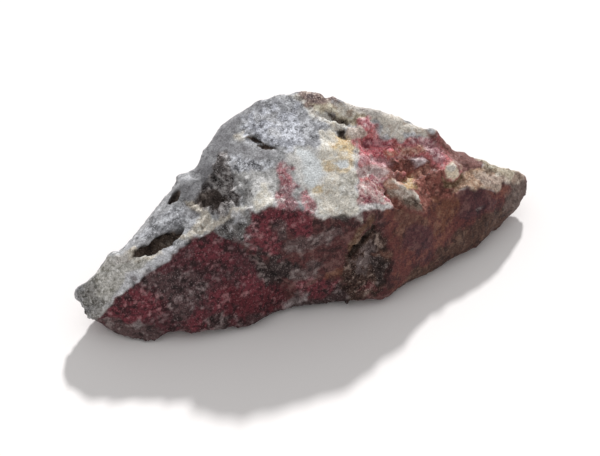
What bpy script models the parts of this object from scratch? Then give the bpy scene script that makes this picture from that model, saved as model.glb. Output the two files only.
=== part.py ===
"""A piece of cinnabar ore on its matrix: one broken stone, 66 mm long, lying on its underside.

The stone is lofted along its length (+X) between rails that follow its broken edges, then its hollows,
ledges and grains are pressed into a finer mesh. All lengths below are millimetres until the last step.
"""

import bmesh
import bpy
import numpy as np
from mathutils import kdtree
from mathutils.bvhtree import BVHTree

MM = 0.001  # metres in a millimetre
LENGTH = 66.0  # the stone's longest extent, along X
STATION_STEP = 1.0  # spacing of the sections that are lofted
SKIN = 0.4  # edge length of the mesh that the relief is pressed into
TRIANGLES = 8400  # what the finished stone is reduced to
OVERHEAD = 40.0  # a height clear above the stone
FLAT = 0.06  # what lies this close to the ground is ground flat
AROUND = ((-40.0, -18.0, -8.0), (45.0, 28.0, 30.0))  # a box with room to spare round the stone
SEED = 11  # picks the pattern of broken facets

# Rails run from the left tip to the right knob, each through points (x, y, z).
# Front is -Y. The front wall stands between FRONT_FOOT and FRONT_RIDGE; the broken top between
# FRONT_RIDGE and CREST; the back falls from CREST over BACK_SHOULDER to BACK_FOOT.
FRONT_BASE = (
    (-30.6, 4.7, 5.2), (-29.3, 3.8, 3.0), (-27.4, 4.0, 0.9), (-25.5, 3.0, 0.0), (-22.0, 0.2, 0.0),
    (-12.0, -3.2, 0.0), (-3.0, -3.1, 0.0), (8.7, -6.6, 0.0), (18.6, -4.8, 0.0), (27.0, -2.6, 0.0),
    (30.2, -0.6, 1.0), (35.7, 1.1, 2.4),
)
FRONT_FOOT = (
    (-30.6, 4.9, 5.0), (-29.3, 2.4, 3.2), (-27.8, 2.0, 1.6), (-24.9, -1.1, 1.0), (-22.9, -2.6, 1.0),
    (-17.7, -4.2, 1.0), (-9.3, -5.5, 1.0), (-7.1, -5.5, 1.0), (-4.2, -4.8, 1.0), (-2.1, -5.7, 1.0),
    (3.4, -6.8, 1.0), (8.4, -8.9, 1.1), (10.4, -8.7, 1.1), (15.7, -7.2, 1.1), (24.6, -4.9, 1.1),
    (29.9, -2.5, 1.1), (30.6, -2.2, 2.0), (33.4, -1.3, 1.7), (35.7, 0.6, 3.0),
)
FRONT_RIDGE = (
    (-30.6, 5.4, 5.2), (-28.9, 1.3, 4.6), (-27.2, 1.1, 6.0), (-24.8, 0.9, 7.4), (-22.2, 0.7, 9.0),
    (-19.8, 0.7, 10.1), (-16.9, 1.4, 11.5), (-14.3, 1.4, 12.3), (-12.0, 1.2, 13.2), (-9.0, 0.8, 14.8),
    (-5.7, -0.8, 15.5), (-2.8, -1.5, 15.0), (1.4, -3.3, 14.1), (6.8, -4.3, 13.7), (10.8, -3.7, 12.3),
    (15.9, -3.5, 10.7), (17.4, -3.1, 9.9), (21.4, -1.7, 9.2), (27.0, -1.7, 7.9), (30.8, -0.9, 7.1),
    (33.8, 0.5, 5.8), (35.7, 1.3, 4.6),
)
CREST = (
    (-30.6, 5.8, 5.6), (-28.9, 4.4, 8.3), (-27.2, 4.6, 9.9), (-24.8, 5.2, 11.1), (-22.7, 5.4, 11.1),
    (-21.4, 6.0, 11.9), (-18.3, 7.7, 13.0), (-14.9, 9.8, 14.1), (-12.5, 11.4, 15.4), (-10.4, 11.4, 15.2),
    (-9.4, 11.7, 16.0), (-6.1, 13.9, 18.2), (-3.1, 14.6, 19.6), (-0.4, 14.7, 20.9), (2.0, 14.2, 21.3),
    (7.0, 13.4, 21.5), (9.2, 12.4, 21.0), (12.7, 10.2, 19.8), (17.3, 8.4, 17.9), (21.4, 7.0, 15.5),
    (22.7, 6.9, 14.8), (24.8, 5.4, 11.8), (27.6, 3.8, 10.6), (31.5, 1.9, 8.3), (34.4, 1.7, 6.2),
    (35.7, 1.9, 5.0),
)
BACK_SHOULDER = (
    (-30.6, 5.6, 5.2), (-24.0, 8.4, 6.6), (-17.0, 12.6, 8.6), (-9.0, 16.0, 10.2), (-1.0, 18.2, 11.8),
    (7.0, 17.6, 12.2), (14.0, 14.2, 10.8), (21.0, 11.0, 8.0), (28.0, 7.2, 5.6), (35.7, 2.2, 4.0),
)
BACK_FOOT = (
    (-30.6, 5.4, 5.0), (-27.0, 7.0, 2.2), (-20.0, 10.8, 1.5), (-9.0, 15.4, 1.6), (1.0, 17.6, 1.8),
    (10.0, 15.8, 1.5), (20.0, 10.8, 1.3), (28.0, 6.8, 1.4), (35.7, 2.0, 3.0),
)
BACK_BASE = (
    (-30.6, 5.1, 4.9), (-27.0, 6.0, 1.2), (-20.0, 9.0, 0.0), (-9.0, 13.4, 0.0), (1.0, 15.6, 0.0),
    (10.0, 13.8, 0.0), (20.0, 9.2, 0.0), (28.0, 4.8, 0.4), (35.7, 1.6, 2.5),
)
# How far the top's middle stands above (+) or below (-) the straight line from ridge to crest, along X.
TOP_CAMBER = (
    (-30.6, 0.0), (-24.0, 0.4), (-18.0, 0.3), (-13.0, -0.8), (-9.0, 0.2), (-5.0, 1.4), (0.0, 1.8),
    (5.0, 1.5), (9.0, 0.6), (14.0, -0.6), (20.0, -0.6), (25.0, -0.2), (30.0, 0.2), (35.7, 0.0),
)
# How far the front wall's middle stands out from the straight line from foot to ridge, along X.
WALL_BULGE = (
    (-30.6, 0.0), (-26.0, 0.2), (-14.0, 0.4), (-6.0, 0.5), (3.0, 1.0), (10.0, 1.0), (18.0, 0.9),
    (30.0, 0.6), (35.7, 0.0),
)

# Hollows broken out of the plain faces. Corners are places (x, y) in plan, dropped on to the face below.
# Each hollow has the corners of its mouth, then those of its floor with their depth under the face.
HOLLOWS = {
    # the rough dark hollow beside the dome
    "dark_hollow": (
        ((-6.6, 10.3), (-6.6, 6.4), (-6.7, 3.3), (-7.7, 1.8), (-10.6, 3.0), (-12.3, 6.6), (-10.1, 8.7),
         (-8.2, 9.5)),
        ((-10.7, 6.0, 1.0), (-8.7, 4.3, 1.4), (-7.8, 7.7, 1.0)),
    ),
    # the long gash under the upper left face
    "gash": (
        ((-22.7, 3.5), (-20.9, 4.2), (-18.4, 4.1), (-15.5, 3.8), (-15.4, 3.1), (-18.3, 2.6), (-20.8, 2.6)),
        ((-21.0, 3.5, 1.0), (-18.6, 3.6, 1.6), (-16.5, 3.5, 1.2)),
    ),
    # the small pit high on the left outline
    "left_pit": (
        ((-15.6, 8.5), (-14.6, 9.6), (-13.4, 9.6), (-13.4, 8.5), (-15.0, 8.0)),
        ((-14.3, 8.9, 0.9),),
    ),
    # the broad step down from the pale crest to the red rock
    "red_step": (
        ((10.6, 6.2), (13.8, 6.7), (15.3, 5.3), (17.7, 4.9), (20.1, 5.2), (22.8, 5.6), (24.0, 4.1),
         (21.4, 0.8), (14.9, 0.1), (10.4, 2.7)),
        ((12.2, 5.3, 1.0), (15.2, 3.8, 1.3), (19.1, 4.0, 1.3), (21.8, 3.9, 1.2), (20.3, 1.9, 1.0),
         (15.7, 1.7, 1.0)),
    ),
    # the dark cavity in the middle of the red rock
    "cavity": (
        ((14.0, 2.6), (16.1, 3.2), (20.2, 2.9), (19.9, 1.6), (18.2, 0.7), (14.2, 0.7)),
        ((15.1, 1.9, 2.4), (17.1, 1.7, 2.6), (18.9, 1.9, 2.2)),
    ),
    # the notch between the two blocks at the front edge
    "block_notch": (
        ((11.1, 1.1), (12.5, 1.2), (13.4, -0.4), (13.5, -2.6), (12.4, -3.6), (11.7, -3.3), (11.5, -1.2)),
        ((12.2, -0.4, 0.9), (12.6, -2.6, 1.0)),
    ),
    # the low ground between the right block and the right end
    "right_step": (
        ((18.8, 0.5), (21.4, 0.8), (23.2, -0.4), (21.9, -1.8), (19.7, -2.6), (17.2, -3.2)),
        ((19.5, -1.0, 0.8), (21.4, -1.0, 0.7)),
    ),
    # the pocket under the crack in the front wall
    "pocket": (
        ((4.3, -6.5), (6.2, -6.1), (8.5, -5.5), (10.2, -5.9), (10.1, -7.4), (9.1, -8.3), (6.1, -7.7),
         (4.5, -6.8)),
        ((7.5, -6.5, 1.0), (5.8, -7.1, 0.7), (8.2, -7.7, 0.8)),
    ),
}
MOUTH_LIFT = 0.2  # the mouth's corners start this far over the face
AIR = 3.0  # and the hollow reaches this far over its middle
# Blocks joined on. Each has the corners of its foot, then those of its top with their rise over the face.
BLOCKS = {
    "red_ledge": (
        ((10.6, 5.7), (12.0, 6.1), (14.7, 4.8), (17.1, 3.8), (16.6, 3.0), (13.6, 3.6), (10.7, 4.6)),
        ((11.4, 5.4, -0.3), (14.2, 4.3, -0.3), (16.4, 3.5, -0.5)),
    ),
    "purple_lumps": (
        ((20.0, 4.0), (21.2, 4.8), (23.0, 4.8), (23.9, 3.6), (22.2, 2.5), (20.3, 3.0)),
        ((21.0, 4.0, 0.0), (22.6, 4.0, 0.1), (21.8, 3.3, -0.1)),
    ),
    "cavity_stone": (
        ((16.5, 2.4), (17.9, 3.1), (19.9, 2.9), (19.8, 2.0), (17.4, 1.4)),
        ((17.6, 2.4, -0.9), (19.2, 2.5, -0.8)),
    ),
    "pale_block": (
        ((9.8, 6.8), (10.8, 7.4), (12.2, 7.0), (12.2, 6.2), (11.1, 5.4), (9.7, 5.5)),
        ((10.4, 6.6, 0.5), (11.6, 6.6, 0.5), (10.8, 6.0, 0.6)),
    ),
    "left_block": (
        ((8.7, 1.0), (10.5, 1.6), (11.5, 0.6), (12.3, -1.5), (12.3, -3.2), (10.5, -3.8), (8.0, -3.4),
         (7.8, -1.4)),
        ((9.6, 0.6, 0.5), (10.8, -1.2, 0.7), (11.4, -2.6, 0.6), (9.4, -2.2, 0.4)),
    ),
    "right_block": (
        ((13.0, 0.6), (15.1, 0.7), (17.0, -0.6), (17.0, -2.9), (14.5, -3.8), (13.2, -2.6)),
        ((14.2, -0.4, 0.7), (15.6, -1.2, 0.8), (16.0, -2.4, 0.6), (14.6, -2.6, 0.5)),
    ),
    "quartz_lump": (
        ((22.0, 1.4), (23.3, 2.5), (24.8, 2.6), (24.9, 1.4), (23.8, 0.2), (22.2, 0.1)),
        ((22.8, 1.2, 1.3), (23.6, 1.8, 1.6), (24.3, 1.6, 1.3), (23.5, 0.9, 1.3)),
    ),
    "left_shelf": (
        ((-13.9, 9.8), (-12.7, 11.1), (-10.9, 11.2), (-10.4, 10.2), (-11.0, 8.5), (-12.6, 8.8)),
        ((-12.6, 10.2, 0.5), (-11.4, 10.4, 0.5), (-11.6, 9.4, 0.4)),
    ),
    "foot_lump": (
        ((-4.2, -4.4), (-3.4, -4.5), (-1.8, -5.0), (-1.4, -5.4), (-2.6, -5.1), (-3.8, -4.6)),
        ((-3.4, -4.6, 0.8), (-2.0, -5.2, 0.8)),
    ),
}
ROOT = 2.0  # how far a block's foot is sunk under the face
# Creases pressed into the surface: (points along it, reach to each side, depth).
CREASES = (
    # between the flat left face and the middle wall
    (((-11.9, 1.2, 12.8), (-10.0, -0.3, 11.5), (-7.8, -2.1, 9.7), (-7.2, -3.2, 7.4), (-5.2, -4.0, 4.9),
      (-3.9, -4.6, 2.0)), 1.3, 0.7),
    # the crack above the pocket
    (((4.5, -6.0, 8.6), (6.4, -5.8, 10.0), (8.8, -5.1, 11.0)), 0.8, 0.9),
    # the two slots in the dome
    (((-3.0, 10.0, 19.2), (-2.0, 8.0, 19.3)), 0.6, 0.6),
    (((-2.2, 8.1, 19.2), (-0.7, 6.4, 19.4)), 0.6, 0.6),
    # the crevice under the crest, and the hole at its end
    (((7.6, 9.5, 20.0), (8.6, 9.1, 19.7), (9.9, 8.3, 19.0), (11.2, 8.0, 18.6)), 0.7, 0.9),
    (((9.0, 6.6, 18.5), (9.3, 5.9, 18.1)), 0.8, 1.2),
    # under the quartz lump
    (((21.9, 0.0, 10.1), (23.7, -0.1, 9.5)), 0.7, 0.6),
    # small hollow near the right knob
    (((28.3, 0.9, 8.9), (30.1, 0.7, 8.3)), 0.8, 0.5),
)

# The broken surface is flat patches, each set by (size, tilt, step to its neighbours).
LARGE_FACETS = (6.5, 0.035, 0.08)
SMALL_FACETS = (2.6, 0.06, 0.06)
BACK_FACETS = (9.0, 0.06, 0.3)
# These last come in as a face turns to the back or the underside, by the backward part of its normal.
BACK_STARTS = 0.48
BACK_FULL = 0.88
# Where the broken surface is rougher or smoother than elsewhere: (centre, reach, times as rough).
ROUGHNESS = (
    ((17.5, 3.0, 13.0), 8.0, 2.4),
    ((7.5, -6.5, 7.0), 4.5, 2.0),
    ((-9.0, 6.0, 14.5), 4.5, 2.6),
    ((-1.0, 6.0, 18.5), 9.0, 0.5),
    ((-19.0, -1.0, 5.5), 9.0, 0.6),
    ((-29.5, 4.5, 6.0), 5.0, 0.5),
    ((34.5, 1.5, 4.5), 5.0, 0.6),
    ((2.0, 16.0, 8.0), 22.0, 1.6),
)
FULL_WITHIN = 0.33  # a zone has its full roughness within this share of its reach


def along(rail, stations):
    """The points of a rail at each station, as rows of (x, y, z)."""
    points = np.array(rail)
    columns = [np.interp(stations, points[:, 0], points[:, i]) for i in range(1, points.shape[1])]
    return np.column_stack([stations, *columns])


def stone_sections():
    """One ring of points for each station, in the same order round the stone."""
    first, last = CREST[0][0], CREST[-1][0]
    stations = np.linspace(first, last, round((last - first) / STATION_STEP) + 1)
    foot = along(FRONT_FOOT, stations)
    ridge = along(FRONT_RIDGE, stations)
    crest = along(CREST, stations)
    wall = 0.5 * (foot + ridge)
    wall[:, 1] -= along(WALL_BULGE, stations)[:, 1]
    brow = 0.5 * (ridge + crest)
    brow[:, 2] += along(TOP_CAMBER, stations)[:, 1]
    behind = [along(rail, stations) for rail in (BACK_SHOULDER, BACK_FOOT, BACK_BASE, FRONT_BASE)]
    return np.stack([foot, wall, ridge, brow, crest, *behind], axis=1)


def lofted_stone():
    """The stone's main faces as a closed mesh."""
    shape = bmesh.new()
    rings = [[shape.verts.new(point) for point in ring] for ring in stone_sections()]
    around = len(rings[0])
    for ring, following in zip(rings, rings[1:]):
        for i in range(around):
            j = (i + 1) % around
            shape.faces.new((ring[i], ring[j], following[j], following[i]))
    shape.faces.new(rings[0][::-1])
    shape.faces.new(rings[-1])
    bmesh.ops.recalc_face_normals(shape, faces=shape.faces)
    mesh = bpy.data.meshes.new("loft")
    shape.to_mesh(mesh)
    shape.free()
    return mesh


def hull_mesh(name, corners):
    """The convex hull of some corners as a closed mesh."""
    shape = bmesh.new()
    for corner in corners:
        shape.verts.new(corner)
    hull = bmesh.ops.convex_hull(shape, input=shape.verts)
    bmesh.ops.delete(shape, geom=hull["geom_interior"], context="VERTS")
    bmesh.ops.recalc_face_normals(shape, faces=shape.faces)
    mesh = bpy.data.meshes.new(name)
    shape.to_mesh(mesh)
    shape.free()
    return mesh


def under(faces, place, rise):
    """The point this far out from the plain face that lies below a place in plan."""
    x, y = place
    point, normal, _, _ = faces.ray_cast((x, y, OVERHEAD), (0.0, 0.0, -1.0))
    return point + normal * rise


def hollow_corners(faces, mouth, floor):
    """Corners of what is cut away: from over the mouth down to the floor."""
    middle = np.mean(mouth, axis=0)
    corners = [under(faces, place, MOUTH_LIFT) for place in mouth]
    corners += [under(faces, (x, y), -depth) for x, y, depth in floor]
    return corners + [under(faces, middle, AIR)]


def block_corners(faces, foot, top):
    """Corners of what is joined on: from its sunken foot up to its top."""
    corners = [under(faces, place, -ROOT) for place in foot]
    return corners + [under(faces, (x, y), rise) for x, y, rise in top]


def placed(name, mesh, collection):
    """A new object in a collection."""
    made = bpy.data.objects.new(name, mesh)
    collection.objects.link(made)
    return made


def baked(stone):
    """The object's mesh with its modifiers applied."""
    bpy.context.view_layer.update()
    depsgraph = bpy.context.evaluated_depsgraph_get()
    return bpy.data.meshes.new_from_object(stone.evaluated_get(depsgraph))


def remesh(stone, size):
    """Give the stone an even skin of small faces."""
    skin = stone.modifiers.new("skin", "REMESH")
    skin.mode = "VOXEL"
    skin.voxel_size = size
    stone.data = baked(stone)
    stone.modifiers.clear()


def gap_to(points, path):
    """Distance from each point to a path of straight pieces."""
    nearest = np.full(len(points), np.inf)
    for start, end in zip(path, path[1:]):
        start = np.array(start)
        step = np.array(end) - start
        share = np.clip((points - start) @ step / (step @ step), 0.0, 1.0)
        gap = np.linalg.norm(points - start - share[:, None] * step, axis=1)
        nearest = np.minimum(nearest, gap)
    return nearest


def facets(points, size, tilt, step, rng):
    """Height of a broken surface: flat patches about one size across, each tilted and offset."""
    low, high = np.array(AROUND)
    count = int(np.prod((high - low) / size))
    seeds = rng.uniform(low, high, (count, 3))
    slopes = rng.normal(0.0, tilt, (count, 3))
    offsets = rng.uniform(-step, step, count)
    tree = kdtree.KDTree(count)
    for i, seed in enumerate(seeds):
        tree.insert(seed, i)
    tree.balance()
    nearest = np.array([tree.find(point)[1] for point in points])
    return offsets[nearest] + np.einsum("ij,ij->i", slopes[nearest], points - seeds[nearest])


def roughness(points):
    """How many times as rough as the plain faces the surface is at each point."""
    times = np.ones(len(points))
    for centre, reach, value in ROUGHNESS:
        away = np.linalg.norm(points - np.array(centre), axis=1) / reach
        times += (value - 1.0) * np.clip((1.0 - away) / (1.0 - FULL_WITHIN), 0.0, 1.0)
    return times


def relief(points, normals):
    """How far each surface point is pushed out (+) or in (-)."""
    rng = np.random.default_rng(SEED)
    height = facets(points, *LARGE_FACETS, rng) + facets(points, *SMALL_FACETS, rng)
    height *= roughness(points)
    backward = np.maximum(normals[:, 1], -normals[:, 2])
    turned_away = np.clip((backward - BACK_STARTS) / (BACK_FULL - BACK_STARTS), 0.0, 1.0)
    height += turned_away * facets(points, *BACK_FACETS, rng)
    for path, reach, depth in CREASES:
        share = np.clip(1.0 - gap_to(points, path) / reach, 0.0, 1.0)
        height -= depth * np.sqrt(share)
    return height


def press_relief(stone):
    """Move the skin along its normals by the relief, and grind what would sink below the ground."""
    mesh = stone.data
    points = np.array([vertex.co for vertex in mesh.vertices])
    normals = np.array([vertex.normal for vertex in mesh.vertices])
    points += normals * relief(points, normals)[:, None]
    points[:, 2] = np.maximum(points[:, 2], 0.0)
    mesh.vertices.foreach_set("co", points.ravel())
    mesh.update()


def settle(mesh):
    """Scale the mesh to LENGTH, stand it on z = 0 and centre it, and turn its units to metres."""
    points = np.array([vertex.co for vertex in mesh.vertices])
    low, high = points.min(axis=0), points.max(axis=0)
    origin = np.array([(low[0] + high[0]) / 2, (low[1] + high[1]) / 2, low[2]])
    points = (points - origin) * LENGTH / (high[0] - low[0])
    points[points[:, 2] < FLAT, 2] = 0.0
    mesh.vertices.foreach_set("co", points.ravel() * MM)
    mesh.update()


def matrix_material():
    """Grey rock with the red of cinnabar through it, as one dull colour."""
    material = bpy.data.materials.new("cinnabar_ore")
    material.use_nodes = True
    shader = material.node_tree.nodes["Principled BSDF"]
    shader.inputs["Base Color"].default_value = (0.22, 0.12, 0.11, 1.0)
    shader.inputs["Roughness"].default_value = 0.75
    return material


def shaped_stone(part, tools):
    """The main faces with their hollows cut away and their blocks joined on."""
    stone = placed("cinnabar_stone", lofted_stone(), part)
    faces = BVHTree.FromPolygons(
        [vertex.co for vertex in stone.data.vertices], [tuple(face.vertices) for face in stone.data.polygons]
    )
    shapings = (("DIFFERENCE", HOLLOWS, hollow_corners), ("UNION", BLOCKS, block_corners))
    for operation, pieces, corners_of in shapings:
        for name, (rim, heights) in pieces.items():
            tool = placed(name, hull_mesh(name, corners_of(faces, rim, heights)), tools)
            tool.hide_render = True
            tool.display_type = "WIRE"
            shaping = stone.modifiers.new(name, "BOOLEAN")
            shaping.operation = operation
            shaping.solver = "EXACT"
            shaping.object = tool
    stone.data = baked(stone)
    stone.modifiers.clear()
    return stone


def thin_out(stone):
    """Reduce the skin to TRIANGLES, keeping its shape."""
    thinning = stone.modifiers.new("thinning", "DECIMATE")
    thinning.ratio = TRIANGLES / (2 * len(stone.data.polygons))
    stone.data = baked(stone)
    stone.modifiers.clear()


def finish_surface(stone):
    """Name the mesh, shade it flat and give it its one material."""
    stone.data.name = "cinnabar_stone"
    stone.data.materials.clear()
    stone.data.materials.append(matrix_material())
    for polygon in stone.data.polygons:
        polygon.material_index = 0
        polygon.use_smooth = False


def main():
    for old in list(bpy.data.objects):
        bpy.data.objects.remove(old)
    part = bpy.data.collections.new("cinnabar_on_matrix")
    tools = bpy.data.collections.new("cutters")
    bpy.context.scene.collection.children.link(part)
    bpy.context.scene.collection.children.link(tools)
    stone = shaped_stone(part, tools)
    remesh(stone, SKIN)
    press_relief(stone)
    remesh(stone, SKIN)
    thin_out(stone)
    settle(stone.data)
    finish_surface(stone)


main()
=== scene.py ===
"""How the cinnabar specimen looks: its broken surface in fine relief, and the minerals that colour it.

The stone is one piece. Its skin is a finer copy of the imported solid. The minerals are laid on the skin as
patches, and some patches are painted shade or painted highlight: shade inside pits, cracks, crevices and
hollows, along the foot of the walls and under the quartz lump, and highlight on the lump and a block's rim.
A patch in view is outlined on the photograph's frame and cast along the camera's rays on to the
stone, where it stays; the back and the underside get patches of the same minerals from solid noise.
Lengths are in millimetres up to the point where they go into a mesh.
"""

import math
from collections import namedtuple

import bmesh
import bpy
import numpy as np
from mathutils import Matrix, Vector, kdtree
from mathutils.bvhtree import BVHTree


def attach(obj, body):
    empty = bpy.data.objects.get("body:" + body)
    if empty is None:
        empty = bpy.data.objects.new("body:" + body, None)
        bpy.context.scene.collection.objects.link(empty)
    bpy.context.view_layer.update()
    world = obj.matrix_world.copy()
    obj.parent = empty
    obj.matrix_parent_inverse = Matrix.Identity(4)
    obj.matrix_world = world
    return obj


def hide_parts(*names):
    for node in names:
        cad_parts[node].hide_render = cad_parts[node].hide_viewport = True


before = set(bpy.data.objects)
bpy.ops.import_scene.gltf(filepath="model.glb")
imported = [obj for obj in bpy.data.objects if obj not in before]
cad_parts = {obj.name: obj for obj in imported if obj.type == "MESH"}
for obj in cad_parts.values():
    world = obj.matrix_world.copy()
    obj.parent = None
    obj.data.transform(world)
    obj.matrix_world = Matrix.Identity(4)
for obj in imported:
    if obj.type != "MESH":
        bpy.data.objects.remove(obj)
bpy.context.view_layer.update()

MM = 0.001  # metres in a millimetre

# The camera stands where the photograph was taken from.
PHOTO_WIDTH = 600
PHOTO_HEIGHT = 456
CAMERA_AZIMUTH = -25.0  # degrees round from the stone's front, less than 0 to its left
CAMERA_ELEVATION = 42.0  # degrees above the table
CAMERA_DISTANCE = 318.9
CAMERA_TARGET = (-2.585, -4.992, 9.981)  # what lies in the middle of the frame
CAMERA_LENS = 144.2  # on a sensor 36 wide
SENSOR_WIDTH = 36.0

# Light comes from behind the stone and a little to the right, low enough for a long shadow.
SUN_BEARING = 8.0  # degrees to the right of straight behind, as the camera sees it
SUN_ELEVATION = 34.0
SUN_STRENGTH = 3.2
SUN_SPREAD = 4.0  # degrees across
SKY_STRENGTH = 0.56

WELD = 0.001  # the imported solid's triangles are joined where their corners are this close
SKIN = 0.24  # edge length of the visible mesh
SKIN_SMOOTHING = 2  # rounds of smoothing that take off the solid's flat triangles
DOME_SMOOTHING = 40  # further rounds for the least chipped rock
LEAST_CHIPPED = (0.15, 0.35)  # chip values: rock is smoothed fully below the first, and not above the second

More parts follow.
